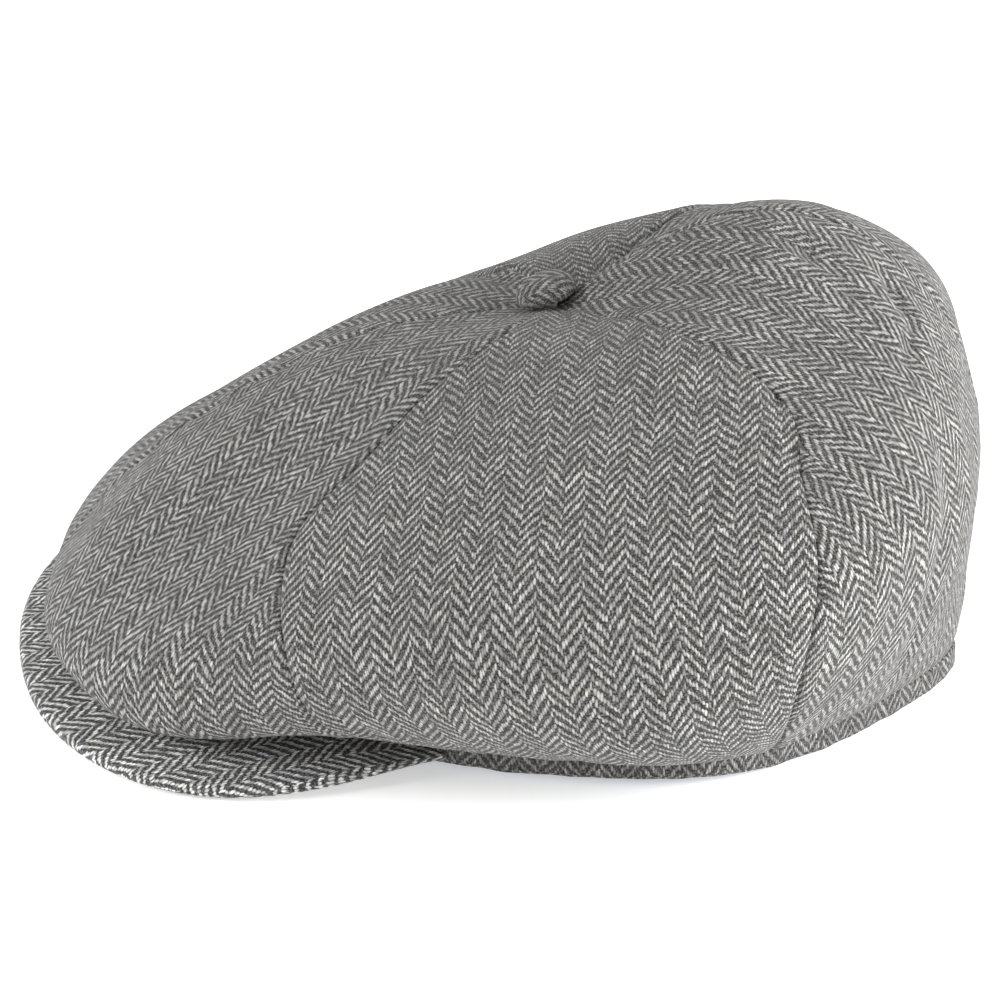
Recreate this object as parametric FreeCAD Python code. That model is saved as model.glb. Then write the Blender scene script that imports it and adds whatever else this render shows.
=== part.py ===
import FreeCAD, Part
import math
import os

# Newsboy cap: six-gore crown on a low edge band, stiff peak in front, covered button on top.
# Front (peak) towards -Y, wearer's left +X, up +Z. Z = 0 is the plane the cap rests on, and the
# head opening is centred near X = Y = 0. All sizes in mm.
V = FreeCAD.Vector
os.makedirs("parts", exist_ok=True)

# --- materials, thickness ---
TWEED = 1.2            # woven outer cloth with its fusible backing
LINING = 0.5           # lining cloth
LINING_DROP = 3.0      # how far inside the outer cloth the lining hangs
BAND_CLOTH = 1.4       # folded cloth of the edge band
INTERFACING = 0.8      # stiffening tape behind the band
SWEATBAND = 1.2        # grosgrain sweatband
PEAK_BOARD = 1.9       # plastic board in the peak
PEAK_CLOTH = 1.1       # cloth above and below the board
SEWN_GAP = 0.05        # parting between pieces sewn flat on each other

# --- crown: apex under the button and one closed ring of stations per level ---
APEX = (0.0, -22.0, 107.5)
# each ring: (x, y, z) at the front centre seam, then every 30 degrees of gore round to the back
RINGS = [
    [(0, -50, 103.5), (14, -46, 105), (24, -34, 108), (28, -20, 110.5), (23, -2, 113.5), (12, 5, 121),
     (0, 7, 126.5)],
    [(0, -82, 94), (22, -73, 97), (40, -53, 98.5), (56, -20, 107), (50, 19, 119.5), (28, 33, 128.5),
     (0, 36, 136.5)],
    [(0, -115, 76), (33, -103, 76.5), (58, -70, 83.5), (82, -20, 95), (74, 45, 107.5), (42, 58, 120.5),
     (0, 62, 131.5)],
    [(0, -143, 54), (47, -131, 53), (74, -86, 69.5), (107, -20, 83), (96, 49, 97.5), (58, 76, 107),
     (0, 84, 115)],
    [(0, -159, 35), (64, -143, 37), (93, -89, 60), (125, -20, 71), (112, 53, 86), (68, 87, 90),
     (0, 94, 95)],
    [(0, -165.5, 24), (79, -142, 25), (107, -87, 52), (131, -19, 57), (122, 52.5, 68), (70, 89, 71),
     (0, 98.5, 71)],
    [(0, -161, 18), (83, -128, 13), (108, -81, 33), (127, -16, 37), (118, 48.5, 44), (63, 85, 42),
     (0, 98.6, 40)],
    [(0, -137, 18.2), (69, -108, 14.2), (93, -69, 17), (105, -10, 18), (98, 44, 21), (50, 80, 19),
     (0, 98, 18)],
]
GORES = 6              # equal panels, seams at front and back centre
APEX_HOLE = 4.0        # radius left open at the apex for the button's eyelet

# --- edge band: outer contour of the head opening and height of its lower rim ---
BAND = [(0, -110.5), (43, -96.5), (74, -59), (85, -8), (76, 38), (35, 77), (0, 94.5)]
RIM = [11.6, 9.9, 3.6, 3.0, 2.0, 0.2, -0.2]
BAND_HEIGHT = 7.0
INTERFACING_FOOT, INTERFACING_TOP = 0.9, 11.0
SWEATBAND_FOOT, SWEATBAND_TOP = 1.0, 32.0
JOIN_WIDTH, JOIN_THICK = 14.0, 0.8      # tape over the sweatband's join at the back
LINING_EDGE = 11.4                      # lining's lower edge above the rim
LINING_EDGE_INSET = 1.5                 # and inside the band's outer contour

# --- peak ---
PEAK_OUTLINE = [(79.5, -46), (93, -73), (100.5, -103), (93.5, -132), (67.5, -158.5), (30, -171.5),
                (0, -174.5)]
PEAK_CREST = (15.9, -100.0)             # highest point of the board's middle on the centre line, Z and Y
PEAK_NOSE = 0.00114                     # fall of the centre line before and behind it, per mm squared
PEAK_DROP, PEAK_HALF, PEAK_POWER = 13.2, 100.0, 2.3      # fall of the board towards its two sides
PEAK_GAP = 0.6         # clear of the band's cloth
PEAK_ANGLE = 65.0      # gore angle at which the peak's inner edge ends
BOARD_INSET = 1.8      # board inside the cloth's outer edge
PEAK_ACROSS, PEAK_DEEP = 27, 7          # surface points round the peak and from the band outwards

# --- button ---
BUTTON_TILT = 19.0     # axis leans forward with the crown, degrees
BUTTON_R, BUTTON_H = 9.0, 6.2
BUTTON_BASE = 2.6      # underside of the button above the apex
SHELL_R, SHELL_H, SHELL_WALL = 7.9, 5.0, 0.5
EDGE_ROUND = 0.29      # middle of a rolled edge's quarter circle from its corner, share of its radius
SHOULDER_OUT, SHOULDER_UP = 0.66, 0.78  # fullest point of the button's dome, shares of radius and height
SHANK_R = 1.5
SHANK_RUN = 0.06       # radial running clearance in the eyelet
EYELET_R, EYELET_FLANGE, EYELET_FLANGE_T = 2.4, 3.4, 0.5
WASHER_R, WASHER_T = 6.5, 0.8
SHANK_LENGTH = 8.6     # below the button's underside

CROSSES = 8            # surface points across a gore
MERIDIAN = 26          # surface points down a gore
LINING_LEAVES = 0.88   # level at which the lining leaves the crown for its own seam
STITCH_MARGIN = 1.5    # tape over the join stops this far from the sweatband's edges
BOARD_BACK = 1.0       # board behind the cloth's inner edge
COVER_EDGE, SHELL_EDGE, FOLD_EDGE = 1.6, 1.0, 0.8       # rolled edges of cover, shell and shell's inside
COVER_HOLE, SHELL_HOLE = 3.0, 2.5       # rim of cloth and metal under the button
COVER_TURN_IN = 0.6    # cloth turned in under the shell
SHANK_DISC = 3.4       # the shank's disc is this much smaller than the shell
SHANK_DISC_T, SHANK_DISC_AT = 0.6, 1.2  # its thickness and height in the shell
EYELET_REACH = 1.2     # eyelet above and below the cloth


def save(shape, name):
    if not shape.isValid():
        shape = shape.removeSplitter()
    shape.exportStep("parts/%s.step" % name)
    print(name, "valid", shape.isValid(), "solids", len(shape.Solids), "volume", round(shape.Volume, 1))


def harmonic(values, odd):
    """Coefficients of the smooth closed curve through stations every 30 degrees of half a turn."""
    n = len(values) - 1
    if odd:
        return [2.0 / n * sum(values[j] * math.sin(k * math.pi * j / n) for j in range(1, n)) for k in range(1, n)]
    out = []
    for k in range(n + 1):
        total = sum((0.5 if j in (0, n) else 1.0) * values[j] * math.cos(k * math.pi * j / n) for j in range(n + 1))
        out.append(total * (1.0 if k in (0, n) else 2.0) / n)
    return out


def sine_sum(c, a):
    return sum(c[k] * math.sin((k + 1) * a) for k in range(len(c)))


def cosine_sum(c, a):
    return sum(c[k] * math.cos(k * a) for k in range(len(c)))


BAND_X = harmonic([p[0] for p in BAND], True)
BAND_Y = harmonic([p[1] for p in BAND], False)
RIM_Z = harmonic(RIM, False)


def band_point(u, inset=0.0, above_rim=0.0):
    """Point on the band's contour at gore angle u (degrees), moved inwards by inset."""
    a, step = math.radians(u), 1e-3
    x, y = sine_sum(BAND_X, a), cosine_sum(BAND_Y, a)
    tx = sine_sum(BAND_X, a + step) - sine_sum(BAND_X, a - step)
    ty = cosine_sum(BAND_Y, a + step) - cosine_sum(BAND_Y, a - step)
    length = math.hypot(tx, ty)
    return V(x - inset * ty / length, y + inset * tx / length, cosine_sum(RIM_Z, a) + above_rim)


RING_FITS = [(harmonic([p[0] for p in r], True), harmonic([p[1] for p in r], False),
              harmonic([p[2] for p in r], False)) for r in RINGS]


def meridian(u):
    """Curve over the crown's outer face from the apex to the band at gore angle u."""
    a = math.radians(u)
    pts = [V(*APEX)] + [V(sine_sum(fx, a), cosine_sum(fy, a), cosine_sum(fz, a)) for fx, fy, fz in RING_FITS]
    pts.append(band_point(u, 0.0, BAND_HEIGHT))
    knots = [0.0]
    for p, q in zip(pts, pts[1:]):
        knots.append(knots[-1] + math.sqrt(p.distanceToPoint(q)))
    curve = Part.BSplineCurve()
    curve.interpolate(Points=pts, Parameters=[k / knots[-1] for k in knots])
    return curve


MERIDIAN_CACHE = {}


def crown_point(u, t):
    key = round(u, 4) % 360
    if key not in MERIDIAN_CACHE:
        MERIDIAN_CACHE[key] = meridian(key)
    return MERIDIAN_CACHE[key].value(t)


def start_parameter(u):
    """Parameter at which the meridian leaves the hole round the eyelet."""
    low, high = 0.0, 0.3
    for _ in range(30):
        mid = 0.5 * (low + high)
        if crown_point(u, mid).distanceToPoint(V(*APEX)) < APEX_HOLE:
            low = mid
        else:
            high = mid
    return high


def crown_offset(u, t, depth):
    """Point below the crown's outer face, measured square to it."""
    du, dt = 0.6, 0.004
    t0, t1 = max(0.0, t - dt), min(1.0, t + dt)
    across = crown_point(u + du, t) - crown_point(u - du, t)
    down = crown_point(u, t1) - crown_point(u, t0)
    normal = down.cross(across)
    normal.normalize()
    p = crown_point(u, t)
    return p - normal * depth


def skin(rows):
    s = Part.BSplineSurface()
    s.interpolate(rows)
    return s


def strip(m, n):
    """Ruled face between two matching curves, laid without a twist."""
    back = n.copy()
    back.reverse()
    faces = [Part.makeRuledSurface(m.toShape(), c.toShape()) for c in (n, back)]
    return min(faces, key=lambda f: f.Area)


def solid_between(top, low):
    """Closed solid between two point grids with the same layout."""
    a, b = skin(top), skin(low)
    u0, u1, v0, v1 = a.bounds()
    p0, p1, q0, q1 = b.bounds()
    pairs = [(a.uIso(u0), b.uIso(p0)), (a.uIso(u1), b.uIso(p1)), (a.vIso(v0), b.vIso(q0)), (a.vIso(v1), b.vIso(q1))]
    return close_up([a.toShape(), b.toShape()] + [strip(m, n) for m, n in pairs])


def close_up(faces):
    shell = Part.makeShell(faces)
    shell.sewShape()
    if shell.ShapeType != "Shell":
        shell = shell.Shells[0]
    solid = Part.makeSolid(shell)
    if solid.Volume < 0:
        solid.reverse()
    return solid


def spread(a, b, n):
    return [a + (b - a) * i / (n - 1.0) for i in range(n)]


# --- crown gores and their lining ---
NAMES = ["front_left", "side_left", "back_left", "back_right", "side_right", "front_right"]


def lining_point(u, t, depth):
    """Lining follows the crown inside it and ends in the seam above the stiffening tape."""
    blend = max(0.0, (t - LINING_LEAVES) / (1.0 - LINING_LEAVES))
    hung = crown_offset(u, t, LINING_DROP + depth)
    edge = band_point(u, LINING_EDGE_INSET + depth, LINING_EDGE)
    return hung * (1.0 - blend) + edge * blend


def gore(index, point, top_depth, low_depth):
    a, b = 360.0 / GORES * index, 360.0 / GORES * (index + 1)
    top, low = [], []
    for u in spread(a, b, CROSSES):
        t0 = start_parameter(u)
        ts = spread(t0, 1.0, MERIDIAN)
        top.append([point(u, t, top_depth) for t in ts])
        low.append([point(u, t, low_depth) for t in ts])
    return solid_between(top, low)


for i, name in enumerate(NAMES):
    save(gore(i, crown_offset, 0.0, TWEED), "crown_gore_" + name)
    save(gore(i, lining_point, 0.0, LINING), "lining_gore_" + name)


# --- rings round the head opening ---
def closed_curve(inset, above):
    pts = [band_point(u, inset, above) for u in range(0, 360, 10)]
    c = Part.BSplineCurve()
    c.interpolate(Points=pts, PeriodicFlag=True)
    return c.toShape()


def ring(inset, thick, foot, top):
    a, b = closed_curve(inset, foot), closed_curve(inset, top)
    c, d = closed_curve(inset + thick, foot), closed_curve(inset + thick, top)
    return close_up([Part.makeRuledSurface(m, n) for m, n in ((a, b), (b, d), (d, c), (c, a))])


band = ring(0.0, BAND_CLOTH, 0.0, BAND_HEIGHT - SEWN_GAP)
ground = Part.makeBox(400, 400, 20, V(-200, -200, -20))
save(band.cut(ground), "band_cloth")
tape_inset = BAND_CLOTH + SEWN_GAP
save(ring(tape_inset, INTERFACING, INTERFACING_FOOT, INTERFACING_TOP), "band_interfacing")
sweat_inset = tape_inset + INTERFACING + SEWN_GAP
save(ring(sweat_inset, SWEATBAND, SWEATBAND_FOOT, SWEATBAND_TOP), "sweatband")


def join_tape():
    inset = sweat_inset + SWEATBAND + SEWN_GAP
    half = 1.0          # gore angle, widened until the tape has its width
    for _ in range(6):
        half *= JOIN_WIDTH / band_point(180 + half, inset).distanceToPoint(band_point(180 - half, inset))
    angles = spread(180 - half, 180 + half, 5)
    heights = (SWEATBAND_FOOT + STITCH_MARGIN, SWEATBAND_TOP - STITCH_MARGIN)
    near = [[band_point(u, inset, h) for h in heights] for u in angles]
    far = [[band_point(u, inset + JOIN_THICK, h) for h in heights] for u in angles]
    return solid_between(near, far)


save(join_tape(), "sweatband_join")


# --- peak ---
def outline_curve():
    right = [V(x, y, 0) for x, y in PEAK_OUTLINE]
    left = [V(-x, y, 0) for x, y in reversed(PEAK_OUTLINE[:-1])]
    c = Part.BSplineCurve()
    c.interpolate(Points=right + left)
    return c


OUTLINE = outline_curve()


def peak_height(x, y):
    return PEAK_CREST[0] - PEAK_NOSE * (y - PEAK_CREST[1]) ** 2 - PEAK_DROP * (abs(x) / PEAK_HALF) ** PEAK_POWER


def peak_grid(lift, outer_inset, inner_inset):
    rows = []
    first, last = OUTLINE.FirstParameter, OUTLINE.LastParameter
    for s in spread(0.0, 1.0, PEAK_ACROSS):
        inner = band_point(PEAK_ANGLE * (1.0 - 2.0 * s), -(PEAK_GAP + inner_inset))
        outer = OUTLINE.value(first + (last - first) * s)
        inner.z = outer.z = 0.0
        reach = outer - inner
        outer = outer - reach * (outer_inset / max(reach.Length, outer_inset * 3.0))
        row = []
        for w in spread(0.0, 1.0, PEAK_DEEP):
            p = inner + (outer - inner) * w
            row.append(V(p.x, p.y, peak_height(p.x, p.y) + lift))
        rows.append(row)
    return rows


half_board = PEAK_BOARD / 2.0
cloth_low = half_board + SEWN_GAP
save(solid_between(peak_grid(half_board, BOARD_INSET, BOARD_BACK), peak_grid(-half_board, BOARD_INSET, BOARD_BACK)),
     "peak_board")
save(solid_between(peak_grid(cloth_low + PEAK_CLOTH, 0.0, 0.0), peak_grid(cloth_low, 0.0, 0.0)), "peak_top_cloth")
save(solid_between(peak_grid(-cloth_low, 0.0, 0.0), peak_grid(-cloth_low - PEAK_CLOTH, 0.0, 0.0)),
     "peak_under_cloth")


# --- button, its shank and washer, and the eyelet in the crown ---
def on_axis(shape):
    """Places a shape built about Z at the crown's apex, leaning forward with the crown."""
    placed = shape.copy()
    placed.rotate(V(0, 0, 0), V(1, 0, 0), BUTTON_TILT)
    placed.translate(V(*APEX))
    return placed


def dome(radius, height, base, edge):
    """Flattened dome with a rolled edge, as a solid of revolution."""
    a, b = V(0, 0, base), V(radius - edge, 0, base)
    c, d = V(radius, 0, base + edge), V(0, 0, base + height)
    mid_edge = V(radius - edge * EDGE_ROUND, 0, base + edge * EDGE_ROUND)
    shoulder = V(radius * SHOULDER_OUT, 0, base + edge + (height - edge) * SHOULDER_UP)
    over = Part.BSplineCurve()
    over.interpolate(Points=[c, shoulder, d], InitialTangent=V(0, 0, 1), FinalTangent=V(-1, 0, 0))
    edges = [Part.makeLine(a, b), Part.Arc(b, mid_edge, c).toShape(), over.toShape(), Part.makeLine(d, a)]
    return Part.Face(Part.Wire(edges)).revolve(V(0, 0, 0), V(0, 0, 1), 360)


shell_base = BUTTON_BASE + COVER_TURN_IN
shell_outer = dome(SHELL_R, SHELL_H, shell_base, SHELL_EDGE)
shell_inner = dome(SHELL_R - SHELL_WALL, SHELL_H - SHELL_WALL, shell_base, FOLD_EDGE)
mouth = Part.makeCylinder(SHELL_R - SHELL_HOLE, 2.0 * SHELL_EDGE, V(0, 0, shell_base - SHELL_EDGE))
shell = shell_outer.cut(shell_inner.fuse(mouth))
fill = dome(SHELL_R + SEWN_GAP, SHELL_H + SEWN_GAP, shell_base - SEWN_GAP, SHELL_EDGE)
cover = dome(BUTTON_R, BUTTON_H, BUTTON_BASE, COVER_EDGE).cut(fill)
cover = cover.cut(Part.makeCylinder(SHELL_R - COVER_HOLE, 2.0 * SHELL_EDGE, V(0, 0, BUTTON_BASE - SHELL_EDGE)))
save(on_axis(cover), "button_cover")
save(on_axis(shell), "button_shell")
shank_top = shell_base + SHELL_H - SHELL_WALL - SEWN_GAP
shank_foot = BUTTON_BASE - SHANK_LENGTH
shank = Part.makeCylinder(SHANK_R, shank_top - shank_foot, V(0, 0, shank_foot))
disc = Part.makeCylinder(SHELL_R - SHANK_DISC, SHANK_DISC_T, V(0, 0, shell_base + SHANK_DISC_AT))
save(on_axis(shank.fuse(disc).removeSplitter()), "button_shank")
washer = Part.makeCylinder(WASHER_R, WASHER_T, V(0, 0, shank_foot))
washer = washer.cut(Part.makeCylinder(SHANK_R + SEWN_GAP, 3.0 * WASHER_T, V(0, 0, shank_foot - WASHER_T)))
save(on_axis(washer), "button_washer")
eyelet_low, eyelet_high = -TWEED - EYELET_REACH, EYELET_REACH
eyelet = Part.makeCylinder(EYELET_R, eyelet_high - eyelet_low, V(0, 0, eyelet_low))
eyelet = eyelet.fuse(Part.makeCylinder(EYELET_FLANGE, EYELET_FLANGE_T, V(0, 0, eyelet_high - EYELET_FLANGE_T)))
eyelet = eyelet.cut(Part.makeCylinder(SHANK_R + SHANK_RUN, 2.0 * SHANK_LENGTH, V(0, 0, -SHANK_LENGTH)))
save(on_axis(eyelet.removeSplitter()), "crown_eyelet")
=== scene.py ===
import math

import bmesh
import bpy
import numpy as np
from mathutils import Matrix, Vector


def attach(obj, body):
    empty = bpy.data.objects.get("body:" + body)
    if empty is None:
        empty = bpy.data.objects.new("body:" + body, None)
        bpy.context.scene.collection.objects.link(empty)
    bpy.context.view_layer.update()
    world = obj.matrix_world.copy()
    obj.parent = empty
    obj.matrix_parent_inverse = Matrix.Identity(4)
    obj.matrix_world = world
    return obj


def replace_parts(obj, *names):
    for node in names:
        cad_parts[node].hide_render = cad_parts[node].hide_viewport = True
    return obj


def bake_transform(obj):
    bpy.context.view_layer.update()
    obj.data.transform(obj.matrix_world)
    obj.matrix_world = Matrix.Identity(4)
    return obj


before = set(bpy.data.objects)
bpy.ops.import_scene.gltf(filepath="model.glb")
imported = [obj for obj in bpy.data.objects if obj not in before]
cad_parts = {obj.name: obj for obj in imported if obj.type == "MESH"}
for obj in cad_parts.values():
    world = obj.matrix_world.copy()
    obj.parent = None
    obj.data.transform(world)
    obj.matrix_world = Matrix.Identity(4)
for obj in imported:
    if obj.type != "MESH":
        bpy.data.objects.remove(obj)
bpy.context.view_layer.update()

MM = 0.001

# ---------------------------------------------------------------- shape
APEX = (0.0, -22.0, 107.5)
RINGS = [
    [(0, -50, 103.5), (14, -46, 105), (24, -34, 108), (28, -20, 110.5), (23, -2, 113.5), (12, 5, 121),
     (0, 7, 126.5)],
    [(0, -82, 94), (22, -73, 97), (40, -53, 98.5), (56, -20, 107), (50, 19, 119.5), (28, 33, 128.5),
     (0, 36, 136.5)],
    [(0, -115, 76), (33, -103, 76.5), (58, -70, 83.5), (82, -20, 95), (74, 45, 107.5), (42, 58, 120.5),
     (0, 62, 131.5)],
    [(0, -143, 54), (47, -131, 53), (74, -86, 69.5), (107, -20, 83), (96, 49, 97.5), (58, 76, 107),
     (0, 84, 115)],
    [(0, -159, 35), (64, -143, 37), (93, -89, 60), (125, -20, 71), (112, 53, 86), (68, 87, 90),
     (0, 94, 95)],
    [(0, -165.5, 24), (79, -142, 25), (107, -87, 52), (131, -19, 57), (122, 52.5, 68), (70, 89, 71),
     (0, 98.5, 71)],
    [(0, -161, 18), (83, -128, 13), (108, -81, 33), (127, -16, 37), (118, 48.5, 44), (63, 85, 42),
     (0, 97, 40)],
    [(0, -137, 18.2), (69, -108, 14.2), (93, -69, 17), (105, -10, 18), (98, 44, 21), (50, 80, 19),
     (0, 96, 18)],
]
BAND = [(0, -110.5), (43, -96.5), (74, -59), (85, -8), (76, 38), (35, 77), (0, 94.5)]
RIM = [11.6, 9.9, 3.6, 3.0, 2.0, 0.2, -0.2]
BAND_HEIGHT = 7.0
GORES = ["front_left", "side_left", "back_left", "back_right", "side_right", "front_right"]
LINING_DROP = 3.1
JOIN_HALF = 8.6                  # half the width of the tape over the sweatband's join, as a gore angle

PEAK_OUTLINE = [(79.5, -46), (93, -73), (100.5, -103), (93.5, -132), (67.5, -158.5), (30, -171.5),
                (0, -174.5)]
PEAK_ANGLE = 65.0
PEAK_CREST = (15.9, -100.0)     # height of the board's middle on the centre line, and where it is highest
PEAK_NOSE = 0.00114             # fall of the centre line before and behind it, per mm squared
PEAK_DROP, PEAK_HALF, PEAK_POWER = 13.2, 100.0, 2.3      # fall of the board towards its sides
PEAK_HALF_THICK = 2.1
PEAK_GRAIN = 25.0                # the peak cloth is cut this many degrees off the centre line

STRIPE, END, PICK = 5.67, 0.709, 0.85       # herringbone stripe, warp end and weft pick
# places of the pieces on the cloth they are cut from, so that no two repeat the same yarn
GORE_APART, PEAK_APART, BUTTON_APART = 250.0, 900, [1200, 2.8]
BUTTON_TILT = 19.0                          # the button's axis leans forward with the crown, degrees


def harmonic(values, odd):
    v, n = np.array(values, float), len(values) - 1
    j, k = np.arange(n + 1), np.arange(n + 1)[:, None]
    if odd:
        return 2.0 / n * (np.sin(k * math.pi * j / n) @ v)
    w = np.where((j == 0) | (j == n), 0.5, 1.0)
    c = 2.0 / n * (np.cos(k * math.pi * j / n) @ (w * v))
    c[[0, n]] *= 0.5
    return c


def wave(c, a, odd):
    k = np.arange(len(c))
    return (np.sin if odd else np.cos)(np.multiply.outer(a, k)) @ c


class Contour:
    """Smooth closed curve through stations every 30 degrees of gore angle, the same on both sides."""

    def __init__(self, stations):
        self.c = [harmonic([p[i] for p in stations], i == 0) for i in range(len(stations[0]))]

    def __call__(self, u):
        a = np.radians(u)
        return np.stack([wave(c, a, i == 0) for i, c in enumerate(self.c)], -1)


BAND_LINE = Contour([p + (z,) for p, z in zip(BAND, RIM)])
RING_LINES = [Contour(r) for r in RINGS]


def band_point(u, inset=0.0, above=0.0):
    u = np.asarray(u, float)
    p, d = BAND_LINE(u), BAND_LINE(u + 0.05) - BAND_LINE(u - 0.05)
    d = d / np.linalg.norm(d[..., :2], axis=-1)[..., None]
    out = p.copy()
    out[..., 0] += -inset * d[..., 1]
    out[..., 1] += inset * d[..., 0]
    out[..., 2] += above
    return out


def spline_rows(knots, values, at):
    """Natural cubic spline: knots (k,), values (k, d), at (n,)."""
    n, h = len(knots), np.diff(knots)
    a, r = np.eye(n), np.zeros_like(values)
    for i in range(1, n - 1):
        a[i, i - 1:i + 2] = h[i - 1], 2 * (h[i - 1] + h[i]), h[i]
        r[i] = 6 * ((values[i + 1] - values[i]) / h[i] - (values[i] - values[i - 1]) / h[i - 1])
    m = np.linalg.solve(a, r)
    i = np.clip(np.searchsorted(knots, at) - 1, 0, n - 2)
    x, y, w = (at - knots[i])[:, None], (knots[i + 1] - at)[:, None], h[i][:, None]
    return (m[i] * y ** 3 + m[i + 1] * x ** 3) / (6 * w) + (values[i] / w - m[i] * w / 6) * y + \
        (values[i + 1] / w - m[i + 1] * w / 6) * x


def crown(us, ts):
    """Outer face of the crown, as an array (len(us), len(ts), 3)."""
    levels = [np.broadcast_to(APEX, (len(us), 3))] + [r(us) for r in RING_LINES]
    levels = np.stack(levels + [band_point(us, 0, BAND_HEIGHT)], 1)
    out = []
    for p in levels:
        k = np.concatenate([[0], np.cumsum(np.sqrt(np.linalg.norm(np.diff(p, axis=0), axis=1)))])
        out.append(spline_rows(k / k[-1], p, ts))
    return np.array(out)


def normals(p):
    """Outward normals of a grid whose first axis goes round with u and second goes down with t."""
    n = np.cross(np.gradient(p, axis=1), np.gradient(p, axis=0))
    return n / np.maximum(np.linalg.norm(n, axis=-1), 1e-9)[..., None]


def soft_noise(a, b, seed, count=7):
    """Smooth repeatable noise of about -1 to 1 for coordinates that are already in waves."""
    rng = np.random.default_rng(seed)
    out = 0
    for _ in range(count):
        f, g, phase = rng.uniform(-1, 1), rng.uniform(-1, 1), rng.uniform(0, 6.28)
        out = out + np.sin(6.28 * (a * f + b * g) + phase)
    return out / count ** 0.5


def smooth(x, a, b):
    s = np.clip((x - a) / (b - a), 0, 1)
    return s * s * (3 - 2 * s)


# ---------------------------------------------------------------- flat pattern of a curved piece
FLATTEN_ROUNDS = 30


def flatten(p):
    """Lays a grid of points flat with as little stretch as cloth allows (as rigid as possible)."""
    m, n = p.shape[:2]
    v = p.reshape(-1, 3)
    grid = np.arange(m * n).reshape(m, n)
    a, b, c, d = (g.ravel() for g in (grid[:-1, :-1], grid[1:, :-1], grid[1:, 1:], grid[:-1, 1:]))
    tri = np.concatenate([np.stack([a, b, c], 1), np.stack([a, c, d], 1)])
    e1, e2 = v[tri[:, 1]] - v[tri[:, 0]], v[tri[:, 2]] - v[tri[:, 0]]
    l1 = np.linalg.norm(e1, axis=1)
    x = e1 / l1[:, None]
    nrm = np.cross(e1, e2)
    y = np.cross(nrm / np.linalg.norm(nrm, axis=1)[:, None], x)
    local = np.zeros((len(tri), 3, 2))
    local[:, 1, 0] = l1
    local[:, 2] = np.stack([(e2 * x).sum(1), (e2 * y).sum(1)], 1)
    lap, weights = np.zeros((m * n, m * n)), []
    for i in range(3):
        j, k = (i + 1) % 3, (i + 2) % 3
        s, t = local[:, j] - local[:, i], local[:, k] - local[:, i]
        cot = (s * t).sum(1) / np.maximum(np.abs(s[:, 0] * t[:, 1] - s[:, 1] * t[:, 0]), 1e-6)
        weights.append((j, k, np.maximum(cot, 0.02)))
        np.add.at(lap, (tri[:, j], tri[:, j]), weights[-1][2])
        np.add.at(lap, (tri[:, k], tri[:, k]), weights[-1][2])
        np.add.at(lap, (tri[:, j], tri[:, k]), -weights[-1][2])
        np.add.at(lap, (tri[:, k], tri[:, j]), -weights[-1][2])
    lap[grid[m // 2, 0], grid[m // 2, 0]] += 1e3
    inverse = np.linalg.inv(lap)
    mid = p[m // 2]
    down = np.concatenate([[0], np.cumsum(np.linalg.norm(np.diff(mid, axis=0), axis=1))])
    across = np.concatenate([np.zeros((1, n)), np.cumsum(np.linalg.norm(np.diff(p, axis=0), axis=2), axis=0)])
    across -= across[m // 2]
    uv = np.stack([across.ravel(), np.broadcast_to(down, (m, n)).ravel()], 1)
    for _ in range(FLATTEN_ROUNDS):
        q = uv[tri]
        cov = np.zeros((len(tri), 2, 2))
        for j, k, w in weights:
            was, now = local[:, k] - local[:, j], q[:, k] - q[:, j]
            cov += w[:, None, None] * now[:, :, None] * was[:, None, :]
        angle = np.arctan2(cov[:, 1, 0] - cov[:, 0, 1], cov[:, 0, 0] + cov[:, 1, 1])
        rot = np.stack([np.cos(angle), -np.sin(angle), np.sin(angle), np.cos(angle)], 1).reshape(-1, 2, 2)
        rhs = np.zeros((m * n, 2))
        for j, k, w in weights:
            edge = w[:, None] * np.einsum("tij,tj->ti", rot, local[:, k] - local[:, j])
            np.add.at(rhs, tri[:, k], edge)
            np.add.at(rhs, tri[:, j], -edge)
        uv = inverse @ rhs
    uv = uv.reshape(m, n, 2)
    line = uv[m // 2, n - 1] - uv[m // 2, 0]
    turn = math.pi / 2 - math.atan2(line[1], line[0])
    r = np.array([[math.cos(turn), -math.sin(turn)], [math.sin(turn), math.cos(turn)]])
    return (uv - uv[m // 2, 0]) @ r.T * [1, -1]


def resample(grid, m, n):
    """Bilinear resampling of a grid of any depth to m by n points."""
    def one(g, count):
        at = np.linspace(0, len(g) - 1, count)
        i = np.minimum(at.astype(int), len(g) - 2)
        f = (at - i).reshape(-1, *([1] * (g.ndim - 1)))
        return g[i] * (1 - f) + g[i + 1] * f
    return np.swapaxes(one(np.swapaxes(one(grid, m), 0, 1), n), 0, 1)


# ---------------------------------------------------------------- meshes
def grid_faces(m, n, closed=False, flip=False):
    g = np.arange(m * n).reshape(m, n)
    h = np.roll(g, -1, 0) if closed else g[1:]
    g = g if closed else g[:-1]
    q = np.stack([g[:, :-1], g[:, 1:], h[:, 1:], h[:, :-1]], -1).reshape(-1, 4)
    return q[:, ::-1] if flip else q


def build(name, points, pattern, faces, material):
    """One smooth mesh; points and flat pattern in mm, the pattern kept in hundreds of mm."""
    verts, uvs = np.asarray(points, float).reshape(-1, 3), np.asarray(pattern, float).reshape(-1, 2)
    me = bpy.data.meshes.new(name)
    me.from_pydata((verts * MM).tolist(), [], [tuple(int(i) for i in q) for q in faces])
    layer = me.uv_layers.new(name="fabric")
    index = np.zeros(len(me.loops), int)
    me.loops.foreach_get("vertex_index", index)
    layer.data.foreach_set("uv", (uvs[index] / 100.0).ravel())
    me.polygons.foreach_set("use_smooth", [True] * len(me.polygons))
    me.materials.append(material)
    me.validate()
    obj = bpy.data.objects.new(name, me)
    bpy.context.scene.collection.objects.link(obj)
    return obj


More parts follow.
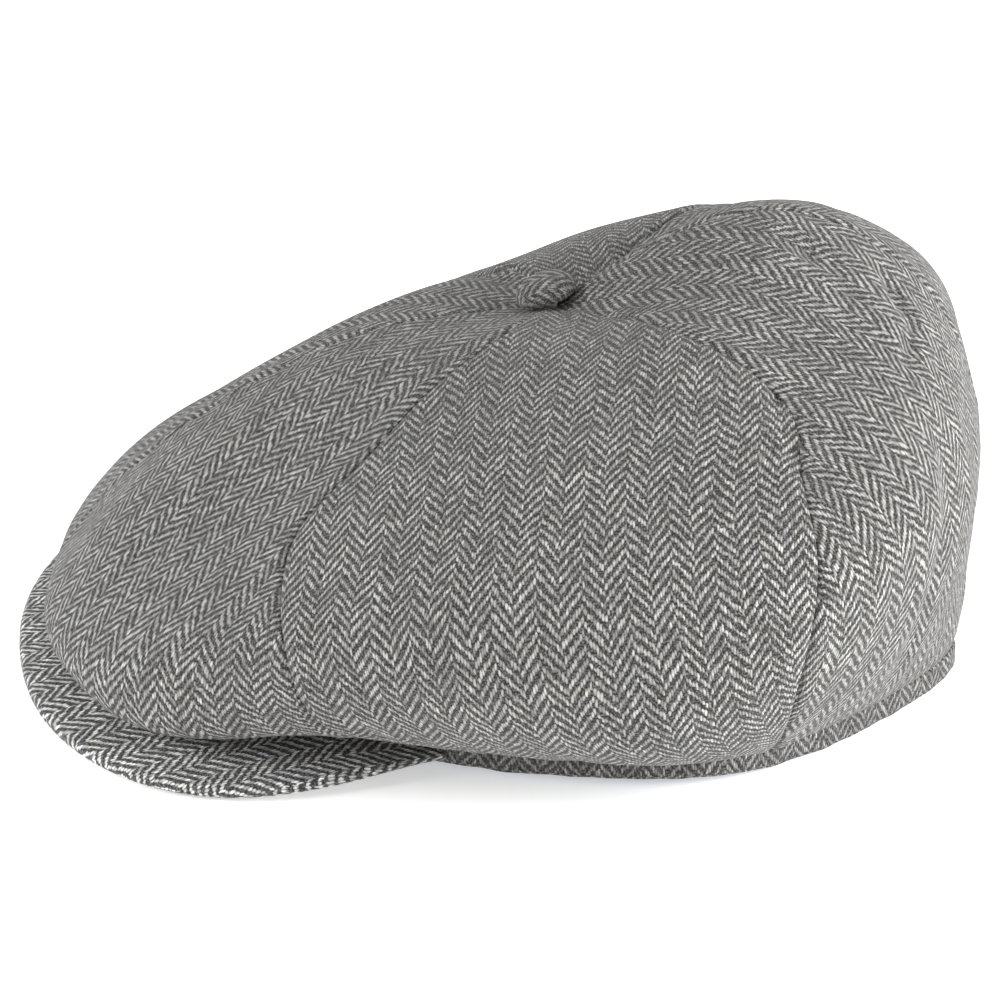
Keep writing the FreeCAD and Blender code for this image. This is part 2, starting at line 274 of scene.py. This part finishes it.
# ---------------------------------------------------------------- materials
class Nodes:
    """Short way to write node maths."""

    def __init__(self, name, **sockets):
        self.mat = bpy.data.materials.new(name)
        self.mat.use_nodes = True
        self.tree = self.mat.node_tree
        self.shader = self.tree.nodes["Principled BSDF"]
        for k, v in sockets.items():
            self.shader.inputs[k.replace("_", " ")].default_value = v

    def node(self, kind, inputs=(), **attributes):
        n = self.tree.nodes.new("ShaderNode" + kind)
        for k, v in attributes.items():
            setattr(n, k, v)
        for k, v in dict(inputs).items():
            if isinstance(v, bpy.types.NodeSocket):
                self.tree.links.new(v, n.inputs[k])
            else:
                n.inputs[k].default_value = v
        return n

    def math(self, op, *args, clamp=False):
        return self.node("Math", {i: a for i, a in enumerate(args)}, operation=op, use_clamp=clamp).outputs[0]

    def add(self, a, b):
        return self.math("ADD", a, b)

    def sub(self, a, b):
        return self.math("SUBTRACT", a, b)

    def mul(self, a, b):
        return self.math("MULTIPLY", a, b)

    def ramp(self, x, a, b, low=0.0, high=1.0, soft=True):
        span = {"Value": x, "From Min": a, "From Max": b, "To Min": low, "To Max": high}
        way = "SMOOTHSTEP" if soft else "LINEAR"
        return self.node("MapRange", span, interpolation_type=way).outputs["Result"]

    def bump_of(self, x):
        """1 in the middle of a 0 to 1 cell and 0 at its edges."""
        y = self.sub(self.mul(x, 2.0), 1.0)
        return self.sub(1.0, self.mul(y, y))

    def vector(self, x, y, z=0.0):
        return self.node("CombineXYZ", {0: x, 1: y, 2: z}).outputs[0]

    def noise(self, x, y, detail=2.0, seed=0.0):
        return self.node("TexNoise", {"Vector": self.vector(x, y, seed), "Scale": 1.0, "Detail": detail},
                         noise_dimensions="3D").outputs["Fac"]

    def white(self, x, y, seed=0.0):
        return self.node("TexWhiteNoise", {"Vector": self.vector(x, y, seed)},
                         noise_dimensions="3D").outputs["Value"]

    def mix(self, f, a, b):
        n = self.node("Mix", {0: f}, data_type="RGBA")
        for i, v in ((6, a), (7, b)):
            if isinstance(v, bpy.types.NodeSocket):
                self.tree.links.new(v, n.inputs[i])
            else:
                n.inputs[i].default_value = (*v, 1.0)
        return n.outputs[2]

    def scale(self, colour, f):
        return self.node("VectorMath", {0: colour, "Scale": f}, operation="SCALE").outputs[0]

    def uv(self):
        """Fabric coordinates in mm."""
        s = self.node("SeparateXYZ", {0: self.node("UVMap", uv_map="fabric").outputs[0]})
        return self.mul(s.outputs[0], 100.0), self.mul(s.outputs[1], 100.0)

    def finish(self, colour, rough, height, depth, strength=1.0):
        for v, k in ((colour, "Base Color"), (rough, "Roughness")):
            if isinstance(v, bpy.types.NodeSocket):
                self.tree.links.new(v, self.shader.inputs[k])
            else:
                self.shader.inputs[k].default_value = v
        if height is not None:
            b = self.node("Bump", {"Height": height, "Distance": depth * MM, "Strength": strength})
            self.tree.links.new(b.outputs[0], self.shader.inputs["Normal"])
        return self.mat


def herringbone(name, light, dark, sheen=0.10, keen=0.88, grazing_blur=0.0):
    """2/2 herringbone: a light warp float on each end, stepping up the stripe, over a dark weft."""
    g = Nodes(name, Sheen_Weight=sheen, Sheen_Roughness=0.5, Sheen_Tint=(0.80, 0.80, 0.82, 1.0),
              Specular_IOR_Level=0.08)
    x0, y0 = g.uv()
    sway = g.sub(g.noise(g.mul(x0, 0.03), g.mul(y0, 0.045), 2.0, 1.0), 0.5)
    drift = g.sub(g.noise(g.mul(x0, 0.05), g.mul(y0, 0.03), 3.0, 2.0), 0.5)
    jitter = g.sub(g.noise(g.mul(x0, 0.7), g.mul(y0, 0.5), 4.0, 3.0), 0.5)
    x = g.add(g.add(x0, g.mul(sway, 3.0)), g.mul(jitter, 0.75))
    y = g.add(g.add(y0, g.mul(drift, 6.0)), g.mul(jitter, 1.9))
    odd = g.math("FLOORED_MODULO", g.math("FLOOR", g.math("DIVIDE", x, STRIPE)), 2.0)
    way = g.sub(1.0, g.mul(odd, 2.0))
    end_at = g.math("DIVIDE", x, END)
    end, end_in = g.math("FLOOR", end_at), g.math("FRACT", end_at)
    climb = g.mul(g.mul(way, 0.25), g.add(end, g.mul(end_in, 0.40)))
    slip = g.mul(g.white(end, 0.0, 4.0), 0.12)
    row_at = g.add(g.add(g.math("DIVIDE", y, 4 * PICK), climb), g.add(g.mul(odd, 0.37), slip))
    row, phase = g.math("FLOOR", row_at), g.math("FRACT", row_at)
    # each float is a small bead of its own length and brightness
    bead, size = g.white(end, row, 3.0), g.white(end, row, 7.0)
    along = g.sub(g.math("DIVIDE", phase, g.mul(g.add(0.44, g.mul(size, 0.20)), 0.5)), 1.0)
    across = g.sub(g.mul(end_in, 2.0), 1.0)
    far = g.add(g.mul(along, along), g.mul(g.mul(across, across), 0.80))
    over = g.ramp(far, 1.42, 0.62)
    crest = g.ramp(far, 1.35, 0.0, soft=False)
    # unevenly spun yarn: single ends, slubs, neps, gaps and stray fibres
    ends = g.noise(g.mul(end, 7.31), g.mul(y, 0.16), 2.0, 5.0)
    weft = g.noise(g.mul(x, 0.9), g.mul(g.math("FLOOR", g.math("DIVIDE", y, PICK)), 5.7), 3.0, 6.0)
    fibres = g.noise(g.mul(x0, 2.3), g.mul(y0, 1.5), 4.0, 11.0)
    neps = g.ramp(g.noise(g.mul(x, 0.8), g.mul(y, 0.5), 1.0, 8.0), 0.66, 0.78)
    gaps = g.ramp(g.noise(g.mul(x, 0.45), g.mul(y, 0.55), 2.0, 9.0), 0.58, 0.76)
    mottle = g.noise(g.mul(x0, 0.20), g.mul(y0, 0.15), 5.0, 12.0)
    faint = g.ramp(g.noise(g.mul(x0, 0.13), g.mul(y0, 0.09), 3.0, 17.0), 0.46, 0.72)
    worn = g.noise(g.mul(x0, 0.021), g.mul(y0, 0.024), 2.0, 13.0)
    # painted shade: each float is painted darker towards its edges and lighter along its middle, following
    # the rounding that the bump also draws; the bead term varies each float's tone at random
    bright = g.mul(g.add(0.30, g.mul(crest, 0.86)), g.add(0.52, g.mul(bead, 0.66)))
    spun = g.mul(g.add(0.55, g.mul(ends, 0.80)), g.add(0.45, g.mul(fibres, 1.1)))
    bright = g.mul(g.add(bright, g.mul(neps, 0.45)), spun)
    specks = g.ramp(g.noise(g.mul(x0, 1.9), g.mul(y0, 1.7), 2.0, 19.0), 0.42, 0.66)
    dim = g.mul(g.add(0.30, g.mul(weft, 1.4)), g.add(0.35, g.mul(specks, 1.9)))
    show = g.mul(over, g.sub(1.0, g.mul(gaps, 0.60)))
    # painted: the weave is painted less distinct towards the apex, standing in for the crown seen at a
    # grazing angle there, where the raised floats hide and shade the dark weft
    blur = g.add(g.mul(faint, 0.32), g.ramp(g.mul(y0, -1.0), 15.0, 110.0, grazing_blur, 0.0))
    show = g.add(g.mul(show, g.sub(keen, blur)), g.add(0.30 * (1 - keen), g.mul(blur, 0.24)))
    cast = g.ramp(g.noise(g.mul(x0, 0.35), g.mul(y0, 0.3), 2.0, 15.0), 0.35, 0.7)
    tint = g.mix(cast, light, tuple(c * f for c, f in zip(light, (0.965, 0.985, 1.03))))
    ground = g.scale(g.mix(cast, dark, tuple(c * 1.15 for c in dark)), dim)
    colour = g.mix(show, ground, g.scale(tint, bright))
    colour = g.scale(colour, g.mul(g.add(0.74, g.mul(mottle, 0.52)), g.add(0.88, g.mul(worn, 0.24))))
    height = g.add(g.mul(over, crest), g.mul(fibres, 0.55))
    return g.finish(colour, g.add(0.80, g.mul(fibres, 0.18)), height, 0.34, 0.85)


def ribbed(name, colour, pitch, depth, gloss):
    """Grosgrain: fine ribs across the tape, with finer threads along it."""
    g = Nodes(name, Specular_IOR_Level=0.3, Sheen_Weight=0.15)
    x, y = g.uv()
    wob = g.noise(g.mul(x, 0.3), g.mul(y, 0.3), 2.0, 1.0)
    rib = g.bump_of(g.math("FRACT", g.add(g.math("DIVIDE", x, pitch), g.mul(wob, 0.2))))
    fine = g.bump_of(g.math("FRACT", g.math("DIVIDE", y, 0.32)))
    mottle = g.noise(g.mul(x, 0.08), g.mul(y, 0.15), 3.0, 2.0)
    # painted shade and highlight: the tape is painted darker in the grooves between its ribs and lighter on
    # its fine threads, following the relief that the bump also draws
    lum = g.mul(g.add(0.62, g.mul(rib, 0.4)), g.add(0.75, g.mul(mottle, 0.5)))
    c = g.scale(g.mix(g.mul(fine, 0.25), colour, tuple(min(1, v * 1.35) for v in colour)), lum)
    return g.finish(c, g.add(gloss, g.mul(mottle, 0.2)), g.add(rib, g.mul(fine, 0.25)), depth)


def satin(name, colour):
    """Lining: fine diagonal weave with soft sheen."""
    g = Nodes(name, Specular_IOR_Level=0.35, Sheen_Weight=0.1)
    x, y = g.uv()
    fine = g.bump_of(g.math("FRACT", g.math("DIVIDE", g.add(x, g.mul(y, 0.6)), 0.36)))
    pick = g.noise(g.mul(x, 0.25), g.mul(y, 3.0), 2.0, 1.0)
    mottle = g.noise(g.mul(x, 0.05), g.mul(y, 0.05), 3.0, 2.0)
    uneven = g.mul(g.add(0.8, g.mul(mottle, 0.4)), g.add(0.9, g.mul(pick, 0.2)))
    # painted shade: the diagonal weave lines are painted a little lighter than the hollows between them,
    # following the relief that the bump also draws
    lum = g.mul(g.add(0.86, g.mul(fine, 0.14)), uneven)
    c = g.scale(g.mix(mottle, colour, tuple(v * 0.93 for v in colour)), lum)
    return g.finish(c, g.add(0.34, g.mul(pick, 0.2)), g.add(fine, g.mul(pick, 0.5)), 0.06)


def grained(name, colour, rough, scale, depth, metallic=0.0, wear=(0.5, 0.5, 0.5)):
    """Moulded plastic, non-woven tape and metal: fine grain, and dull patches of a worn tone."""
    g = Nodes(name, Metallic=metallic)
    p = g.node("NewGeometry").outputs["Position"]
    s = g.node("VectorMath", {0: p, "Scale": 1000.0}, operation="SCALE").outputs[0]
    a = g.node("TexNoise", {"Vector": s, "Scale": scale, "Detail": 5.0}).outputs["Fac"]
    b = g.node("TexNoise", {"Vector": s, "Scale": scale * 0.12, "Detail": 3.0}).outputs["Fac"]
    c = g.mix(g.ramp(b, 0.45, 0.75), colour, tuple(u * 0.8 + v * 0.2 for u, v in zip(colour, wear)))
    return g.finish(g.scale(c, g.add(0.85, g.mul(a, 0.3))), g.add(rough, g.mul(b, 0.2)), a, depth)


TWEED = herringbone("tweed", (0.46, 0.453, 0.427), (0.060, 0.059, 0.057), grazing_blur=0.32)
# painted light: the peak is covered with the crown's tweed, but its light yarn is painted nearly twice as
# light and its dark yarn a little lighter, making up for the shade that the crown casts over the peak
TWEED_PEAK_PAINTED_LIGHT = herringbone("tweed_peak_painted_light", (0.86, 0.85, 0.81), (0.070, 0.070, 0.072), 0.14, 0.95)
LINING = satin("lining", (0.36, 0.46, 0.62))
SWEAT = ribbed("sweatband_grosgrain", (0.22, 0.30, 0.44), 0.62, 0.12, 0.55)
TAPE = grained("interfacing_nonwoven", (0.78, 0.77, 0.73), 0.8, 1.1, 0.10)
BOARD = grained("board_plastic", (0.78, 0.78, 0.75), 0.4, 0.6, 0.05)
METAL = grained("metal_plated", (0.62, 0.61, 0.58), 0.28, 0.7, 0.03, 1.0, (0.30, 0.28, 0.25))

# ---------------------------------------------------------------- crown
# folds, puckers and dents of the worn cloth: gore angle and level of both ends, width mm, height mm
FOLDS = [
    # the near side's shoulder and the flatter cloth above it
    ((72, 0.43), (126, 0.43), 24, 2.6), ((74, 0.26), (118, 0.27), 22, -1.8),
    # slack cloth in the far front gore, beside the button and on the far side
    ((302, 0.183), (314, 0.03), 4.5, -2.8), ((295, 0.17), (307, 0.04), 5, 1.1),
    ((296, 0.23), (300, 0.16), 3.5, -1.6), ((135, 0.045), (121, 0.095), 2.2, -1.2),
    ((128, 0.04), (114, 0.09), 3.0, 0.6), ((243, 0.13), (253, 0.146), 5, 1.3),
    # puckers along the left back seam and the dent beside it
    ((116.5, 0.36), (121.5, 0.35), 1.6, -1.1), ((117, 0.40), (122, 0.395), 1.5, -0.9),
    ((117.5, 0.43), (122, 0.428), 1.6, -1.1), ((118, 0.465), (121.5, 0.462), 1.4, -0.8),
    ((120, 0.34), (120, 0.47), 1.7, -1.2), ((112, 0.31), (117, 0.325), 4.0, -1.1),
    # hollow and crease where the back top folds over
    ((167, 0.295), (165, 0.34), 4.5, -3.0), ((162, 0.28), (160, 0.34), 6.0, 0.8),
    ((172, 0.41), (166, 0.463), 3.0, -2.3), ((166, 0.463), (157, 0.467), 3.0, -2.0),
    ((168, 0.395), (159, 0.435), 6.0, 1.3),
    # soft valley down the back, with its ridges
    ((153, 0.56), (150, 0.70), 8.0, -3.2), ((149, 0.69), (144, 0.86), 7.0, -2.8),
    ((162, 0.58), (158, 0.80), 8.0, 1.5), ((141, 0.60), (136, 0.82), 8.5, 1.4),
    # creases drawn together at the peak's near end, and the dent above the hem
    ((70, 0.73), (78, 0.93), 2.6, -1.9), ((79, 0.71), (80, 0.93), 2.4, -1.4),
    ((64, 0.80), (75, 0.95), 2.4, -1.1), ((75, 0.74), (79, 0.93), 2.4, 0.8),
    ((107, 0.63), (116, 0.72), 8.0, -1.6), ((88, 0.80), (92, 0.93), 4.0, -0.8),
]


def relief(p, us, ts):
    """Soft unevenness of the worn crown, the same on neighbouring gores, square to its face."""
    u, t = np.meshgrid(us, ts, indexing="ij")
    x, y, z = p[..., 0] / 70.0, p[..., 1] / 70.0, p[..., 2] / 60.0
    calm = smooth(t, 0.02, 0.2) * smooth(1 - t, 0.0, 0.12)
    out = 0.55 * calm * soft_noise(x + 0.4 * z, y - z, 11)
    out = out + 0.16 * calm * soft_noise(3.1 * x + z, 3.3 * y - 2.2 * z, 12, 9)
    for (u0, t0), (u1, t1), width, height in FOLDS:
        a, b = (crown(np.array([ue]), np.array([te]))[0, 0] for ue, te in ((u0, t0), (u1, t1)))
        d = b - a
        s = np.clip(((p - a) @ d) / (d @ d), 0, 1)
        far = np.linalg.norm(p - (a + s[..., None] * d), axis=-1)
        fullness = 0.35 + 0.65 * np.sin(math.pi * np.clip(s, 0.08, 0.92))       # a fold dies away at its ends
        out = out + height * np.exp(-(far / width) ** 2) * fullness
    return out


def seam_relief(dist, along, seed, dip, pucker):
    """Pressed-open seam: a narrow groove, a low welt beside it and puckers across it."""
    groove = -dip * np.exp(-(dist / 0.95) ** 2)
    welt = 0.22 * np.exp(-((dist - 3.6) / 2.8) ** 2)
    ripple = soft_noise(along / 11.0, dist / 60.0, seed, 8) * pucker
    ripple = ripple * np.exp(-dist / 7.0) * smooth(dist, 0.2, 2.6)
    return groove + welt + ripple


CROSS, DOWN = 85, 170


def gore(index, depth=0.0, cross=CROSS, down=DOWN, lining=False):
    """Points and flat pattern of one gore, with its edges turned in along the seams."""
    u0, u1 = 60.0 * index, 60.0 * (index + 1)
    us, ts = np.linspace(u0, u1, cross), np.linspace(0.012, 1.0, down)
    p = crown(us, ts)
    n = normals(crown(np.concatenate([[u0 - 0.7], us, [u1 + 0.7]]), ts))[1:-1]
    flat = resample(flatten(crown(np.linspace(u0, u1, 13), np.linspace(0.012, 1.0, 31))), cross, down)
    step = np.linalg.norm(np.diff(p, axis=0), axis=2)
    left = np.concatenate([np.zeros((1, down)), np.cumsum(step, axis=0)])
    right = left[-1] - left
    along = -flat[..., 1]
    if lining:
        blend = smooth(ts, 0.88, 1.0)[None, :, None]
        edge = band_point(us, 3.6, 30.0)[:, None, :]
        out = p - n * depth
        height = -1.1 * (np.exp(-(left / 1.3) ** 2) + np.exp(-(right / 1.3) ** 2))
        height = -height * 0.5 + 0.8 * soft_noise(us[:, None] / 7.0 + 0 * ts, along / 60.0, 31 + index)
        out = out - n * (0.5 + 0.5 * height)[..., None]
        return out * (1 - blend) + edge * blend, flat
    lift = relief(p, us, ts)
    for dist, s in ((left, index), (right, (index + 1) % 6)):
        fade = smooth(ts, 0.02, 0.12)
        lift = lift + seam_relief(dist, along, 40 + s, 0.62, 0.34) * fade
    out = p + n * lift[..., None]
    # the lower edge tucks in behind the band
    tuck = smooth(ts, 0.965, 1.0)[None, :, None]
    out = out * (1 - tuck) + band_point(us, 1.3, BAND_HEIGHT - 2.2)[:, None, :] * tuck
    # seam allowances, turned under
    rows, pats = [], []
    for e, sgn in ((0, 1.0), (-1, -1.0)):
        inward = out[1 if e == 0 else -2] - out[e]
        inward /= np.linalg.norm(inward, axis=1)[:, None]
        first = out[e] - n[e] * 0.9 + inward * 0.15
        second = out[e] - n[e] * 1.3 + inward * 2.2
        rows.append((first, second))
        pats.append((flat[e] + [-sgn * 0.9, 0], flat[e] + [-sgn * 3.1, 0]))
    pts = np.concatenate([rows[0][1][None], rows[0][0][None], out, rows[1][0][None], rows[1][1][None]])
    pat = np.concatenate([pats[0][1][None], pats[0][0][None], flat, pats[1][0][None], pats[1][1][None]])
    return pts, pat


def soft_body(obj, slot, *nodes):
    """Cloth of the crown's side of the cap: hides the CAD parts it replaces and keeps its placement in its
    mesh.
    """
    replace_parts(obj, *nodes)
    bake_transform(obj)
    return obj


for i, name in enumerate(GORES):
    pts, pat = gore(i)
    obj = build("cloth_gore_" + name, pts, pat + [i * GORE_APART, 0], grid_faces(*pts.shape[:2]), TWEED)
    soft_body(obj, "tweed", "crown_gore_" + name)
    pts, pat = gore(i, LINING_DROP, 37, 60, True)
    obj = build("lining_" + name, pts, pat, grid_faces(*pts.shape[:2], flip=True), LINING)
    soft_body(obj, "lining", "lining_gore_" + name)


# ---------------------------------------------------------------- rings round the head opening
def welded(obj):
    """Joins the doubled points of a strip's section, so that it is one closed skin."""
    bm = bmesh.new()
    bm.from_mesh(obj.data)
    bmesh.ops.remove_doubles(bm, verts=bm.verts, dist=1e-6)
    bm.to_mesh(obj.data)
    bm.free()
    return obj


def swept(name, section, material, wobble=0.0, count=540, span=(0.0, 360.0)):
    """Sweeps a section of (inset, height above the rim) points round the head opening."""
    full = span == (0.0, 360.0)
    us = np.linspace(*span, count, endpoint=not full)
    section = list(section) + [section[0]]
    run = np.concatenate([[0], np.cumsum([math.dist(a, b) for a, b in zip(section, section[1:])])])
    line = band_point(us)
    along = np.concatenate([[0], np.cumsum(np.linalg.norm(np.diff(line, axis=0), axis=1))])
    rows = []
    for k, (inset, height) in enumerate(section):
        w = wobble * soft_noise(along / 9.0, along * 0 + (k % (len(section) - 1)) * 0.11, 71, 6)
        rows.append(band_point(us, 0, 0) + (band_point(us, 1.0) - band_point(us)) * (inset + w)[:, None]
                    + np.stack([0 * us, 0 * us, height + 0.5 * w], 1))
    pts = np.stack(rows, 1)
    pts[..., 2] = np.maximum(pts[..., 2], 0.15)
    pat = np.stack([np.broadcast_to(along[:, None], pts.shape[:2]), np.broadcast_to(run, pts.shape[:2])], -1)
    faces = grid_faces(*pts.shape[:2], closed=full).tolist()
    if not full:
        last = (count - 1) * len(section)
        faces += [list(range(len(section) - 1)), [last + k for k in range(len(section) - 2, -1, -1)]]
    return build(name, pts, pat, faces, material)


def rounded(inset, thick, low, high, foot=0.8, steps=4):
    """Flat strip section with a rolled foot and head."""
    out = []
    for cx, cy, a0 in ((inset + foot, low + foot, 180), (inset + thick - foot, low + foot, 270),
                       (inset + thick - foot, high - foot, 0), (inset + foot, high - foot, 90)):
        for s in range(steps + 1):
            a = math.radians(a0 + 90.0 * s / steps)
            out.append((cx + foot * math.cos(a), cy + foot * math.sin(a)))
    return out


band = swept("edge_band", rounded(-0.5, 2.0, 0.0, BAND_HEIGHT - 0.2, 0.95), TWEED, 0.16)
soft_body(band, "tweed", "band_cloth")
tape = welded(swept("band_stiffener", rounded(1.6, 0.7, 0.9, 11.0, 0.3, 2), TAPE))
soft_body(tape, "interfacing", "band_interfacing")
sweat = welded(swept("head_sweatband", rounded(2.4, 1.1, 0.2, 32.0, 0.5, 3), SWEAT, 0.12))
soft_body(sweat, "sweatband", "sweatband")
join_section = rounded(3.6, 0.7, 2.2, 30.2, 0.3, 2)
join = welded(swept("sweatband_join_tape", join_section, SWEAT, 0.0, 44, (180 - JOIN_HALF, 180 + JOIN_HALF)))
soft_body(join, "sweatband", "sweatband_join")


# ---------------------------------------------------------------- peak
def clamped_curve(points, count):
    p = np.array(points, float)
    k = np.concatenate([[0], np.cumsum(np.linalg.norm(np.diff(p, axis=0), axis=1))])
    return spline_rows(k / k[-1], p, np.linspace(0, 1, count))


def peak_height(x, y):
    middle = PEAK_CREST[0] - PEAK_NOSE * (y - PEAK_CREST[1]) ** 2
    return middle - PEAK_DROP * (np.abs(x) / PEAK_HALF) ** PEAK_POWER


PEAK_ROUND = 161
OUTER = clamped_curve(PEAK_OUTLINE + [(-x, y) for x, y in reversed(PEAK_OUTLINE[:-1])], PEAK_ROUND)
INNER = band_point(PEAK_ANGLE * np.linspace(1, -1, PEAK_ROUND), -0.3)[:, :2]


def peak_surface(side, name, material):
    """Cloth over the board's face, rolled round its edge to the seam."""
    w = np.linspace(0, 1, 44)[None, :, None]
    reach = OUTER - INNER
    size = np.linalg.norm(reach, axis=1)[:, None]
    inner_end = INNER[:, None, :] - (reach / size)[:, None, :] * 1.2
    plan = inner_end + (OUTER[:, None, :] - (reach / size)[:, None, :] * 2.0 - inner_end) * w
    z = peak_height(plan[..., 0], plan[..., 1])
    taper = smooth(size[:, 0], 6.0, 26.0)[:, None]
    half = PEAK_HALF_THICK * (0.62 + 0.38 * taper)
    fall = 0.5 * soft_noise(plan[..., 0] / 45.0, plan[..., 1] / 45.0, 91) * 0.35
    top = np.concatenate([plan, (z + side * half + fall * 0.5)[..., None]], -1)
    turns = []
    end = -38 if side > 0 else 40
    out = reach / size
    edge, eh = top[:, -1], half[:, 0]
    for a in np.linspace(90, end, 9)[1:]:
        r = math.radians(a)
        turns.append(np.concatenate([edge[:, :2] + out * (math.cos(r) * 2.0),
                                     (edge[:, 2] - side * eh + side * eh * math.sin(r))[:, None]], 1))
    rim = np.stack(turns, 1)
    pts = np.concatenate([top, rim], 1)
    pat = pts[..., :2].copy()
    extra = np.cumsum(np.linalg.norm(np.diff(np.concatenate([top[:, -1:], rim], 1), axis=1), axis=2), axis=1)
    pat[:, 44:] = top[:, -1:, :2] + out[:, None, :] * extra[..., None]
    a = math.radians(PEAK_GRAIN)
    pat = pat @ np.array([[math.cos(a), -math.sin(a)], [math.sin(a), math.cos(a)]])
    return build(name, pts, pat + [PEAK_APART, 0], grid_faces(*pts.shape[:2], flip=side < 0), material)


top = peak_surface(1, "peak_cloth_top", TWEED_PEAK_PAINTED_LIGHT)
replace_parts(top, "peak_top_cloth"), top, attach(top, "peak")
under = peak_surface(-1, "peak_cloth_under", TWEED_PEAK_PAINTED_LIGHT)
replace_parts(under, "peak_under_cloth"), under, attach(under, "peak")


# ---------------------------------------------------------------- button
def on_axis(p):
    a = math.radians(BUTTON_TILT)
    r = np.array([[1, 0, 0], [0, math.cos(a), -math.sin(a)], [0, math.sin(a), math.cos(a)]])
    return np.asarray(p) @ r.T + APEX


def button():
    """Domed cloth cover, gathered a little round its edge and tucked under it."""
    radius, height, base, around = 8.8, 6.6, 2.4, 72
    edge, roll, foot = 1.7, 1.4, 1.9        # rise of the rolled edge, its radius and its depth
    pts, pat = [], []
    profile = [(0.0, base + height)]
    for a in np.linspace(88, -52, 26):
        r = math.radians(a)
        if a > 0:
            out, up = radius * math.cos(r) ** 0.62, (height - edge) * math.sin(r) ** 1.25
        else:
            out, up = (radius - roll) + roll * math.cos(r), foot * math.sin(r)
        profile.append((out, base + edge + up))
    profile.append((radius - 3.4, base + 0.3))
    run = np.concatenate([[0], np.cumsum([math.dist(a, b) for a, b in zip(profile, profile[1:])])])
    for i, (r, z) in enumerate(profile):
        a = np.linspace(0, 2 * math.pi, around, endpoint=False)
        pleat = 1.0 + 0.012 * np.cos(9 * a + 0.4) * smooth(np.array(r / radius), 0.6, 1.0) * (z < base + 3)
        pts.append(np.stack([r * pleat * np.cos(a), r * pleat * np.sin(a), 0 * a + z], 1))
        pat.append(np.stack([run[i] * np.cos(a), run[i] * np.sin(a)], 1))
    pts, pat = np.stack(pts, 1), np.stack(pat, 1)
    faces = grid_faces(*pts.shape[:2], closed=True)
    return build("button_cloth", on_axis(pts), pat + BUTTON_APART, faces, TWEED)


cover = button()
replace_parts(cover, "button_cover"), cover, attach(cover, "button")

for node, material in (("peak_board", BOARD), ("crown_eyelet", METAL), ("button_shell", METAL),
                       ("button_shank", METAL), ("button_washer", METAL)):
    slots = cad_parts[node].data.materials
    slots.clear()
    slots.append(material)

# ---------------------------------------------------------------- camera, floor and light
scene = bpy.context.scene
AZIMUTH, ELEVATION, FAR, FOCAL = math.radians(92), math.radians(26), 1.300, 4485.0
LEVEL = math.cos(ELEVATION)
back = Vector((math.sin(AZIMUTH) * LEVEL, -math.cos(AZIMUTH) * LEVEL, math.sin(ELEVATION)))
right = Vector((math.cos(AZIMUTH), math.sin(AZIMUTH), 0))
up = back.cross(right)
camera = bpy.data.objects.new("camera", bpy.data.cameras.new("camera"))
scene.collection.objects.link(camera)
scene.camera = camera
camera.data.sensor_width, camera.data.lens = 36.0, FOCAL * 36.0 / 1000.0
camera.data.clip_start, camera.data.clip_end = 0.05, 50.0
camera.location = back * FAR
aim = right * -0.0368 + up * 0.0435
camera.rotation_mode = "QUATERNION"
camera.rotation_quaternion = (aim - camera.location).to_track_quat("-Z", "Y")


def plain_floor():
    g = Nodes("floor_paper", Specular_IOR_Level=0.1)
    p = g.node("NewGeometry").outputs["Position"]
    grain = g.node("TexNoise", {"Vector": p, "Scale": 600.0, "Detail": 3.0}).outputs["Fac"]
    c = g.mix(grain, (0.93, 0.93, 0.93), (0.96, 0.96, 0.96))
    g.shader.inputs["Emission Color"].default_value = (1, 1, 1, 1)
    g.shader.inputs["Emission Strength"].default_value = 0.42
    material = g.finish(c, 0.9, None, 0)
    s, me = 12.0, bpy.data.meshes.new("floor")
    me.from_pydata([(-s, -s, 0), (s, -s, 0), (s, s, 0), (-s, s, 0)], [], [(0, 1, 2, 3)])
    me.materials.append(material)
    floor = bpy.data.objects.new("floor", me)
    scene.collection.objects.link(floor)


plain_floor()


def softbox(name, place, target, size, watts):
    data = bpy.data.lights.new(name, "AREA")
    data.shape, data.size, data.size_y, data.energy = "RECTANGLE", size[0], size[1], watts
    o = bpy.data.objects.new(name, data)
    o.location = place
    o.rotation_mode = "QUATERNION"
    o.rotation_quaternion = (Vector(target) - o.location).to_track_quat("-Z", "Y")
    scene.collection.objects.link(o)


softbox("key_rear", (0.45, 1.8, 0.80), (0, 0.05, 0.06), (1.2, 0.9), 66)
softbox("fill_front", (0.55, -2.1, 0.95), (0, -0.05, 0.05), (1.2, 1.0), 50)
softbox("top", (-0.3, 0.1, 2.6), (-0.3, 0, 0), (2.6, 2.6), 20)
world = bpy.data.worlds.new("studio")
scene.world = world
world.use_nodes = True
world.node_tree.nodes["Background"].inputs[0].default_value = (1, 1, 1, 1)
world.node_tree.nodes["Background"].inputs[1].default_value = 0.44
scene.view_settings.view_transform = "Standard"
